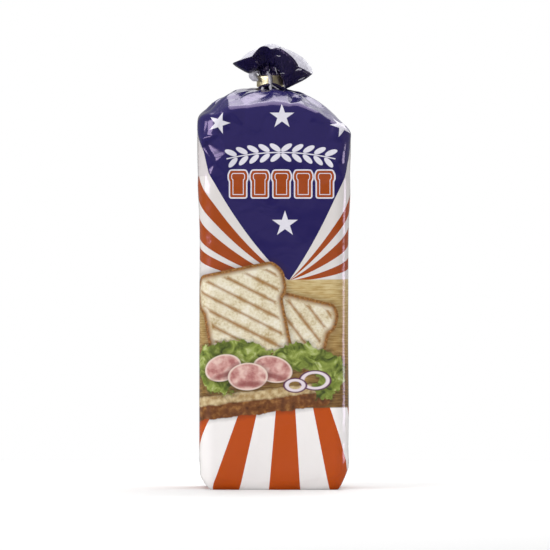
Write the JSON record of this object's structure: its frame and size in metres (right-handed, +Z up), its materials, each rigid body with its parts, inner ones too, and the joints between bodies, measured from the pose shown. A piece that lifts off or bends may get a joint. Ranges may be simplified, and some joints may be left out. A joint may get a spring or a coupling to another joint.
{
  "type": "loaf of sliced toast in a printed film bag",
  "caption": "Tall sliced toast loaf in a printed glossy film bag, standing on its end, with folded shoulders and a gathered neck held by a gold clip under a flared tail.",
  "frame": {"origin": "middle of the flat base", "axes": "+Z up through the neck, -Y out of the printed face, +X to the right of it"},
  "size_m": [0.124, 0.116, 0.3617],
  "materials": {
    "printed_film": "glossy printed film, navy with white and orange fields",
    "gold_foil": "satin gold foil"
  },
  "bodies": {
    "root": {"bag": "printed_film", "clip": "gold_foil"}
  },
  "joints": []
}
